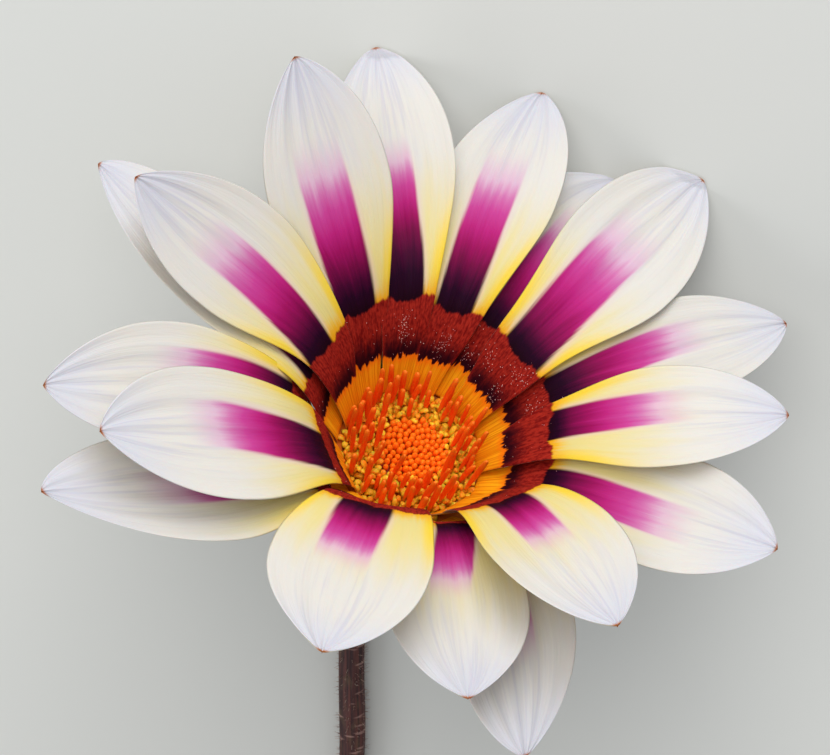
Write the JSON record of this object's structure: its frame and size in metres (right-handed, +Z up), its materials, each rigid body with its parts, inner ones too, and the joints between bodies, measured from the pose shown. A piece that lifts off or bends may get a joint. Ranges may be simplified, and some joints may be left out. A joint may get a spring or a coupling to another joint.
{
  "type": "picked gazania flower",
  "caption": "Daisy-like gazania flower with striped rays, an orange disc, a toothed bract cup and a leafless bent stem, lying on its front rays and stem.",
  "frame": {"origin": "on the surface that the flower lies on, under the middle of its overall box", "axes": "+Z up from the surface; +Y the way the flower's face leans, away from the cut end of the stem; +X to the right, seen from above"},
  "size_m": [0.0772, 0.139, 0.0646],
  "materials": {
    "ray": "soft satin petal, white to cream with a magenta stripe and a brick-red foot",
    "disc_bud": "waxy orange bud",
    "open_floret": "golden floret with pollen and orange styles",
    "bract": "dull green leaf skin with pale margins",
    "stem": "dull reddish-brown skin with fine hairs"
  },
  "bodies": {
    "root": {"ray_floret_01": "ray", "ray_floret_02": "ray", "ray_floret_03": "ray", "ray_floret_04": "ray", "ray_floret_05": "ray", "ray_floret_06": "ray", "ray_floret_07": "ray", "ray_floret_08": "ray", "ray_floret_09": "ray", "ray_floret_10": "ray", "ray_floret_11": "ray", "ray_floret_12": "ray", "ray_floret_13": "ray", "ray_floret_14": "ray", "ray_floret_15": "ray", "ray_floret_16": "ray", "ray_floret_17": "ray", "disc_buds": "disc_bud", "disc_open_florets": "open_floret", "involucre": "bract", "stem": "stem"}
  },
  "joints": []
}
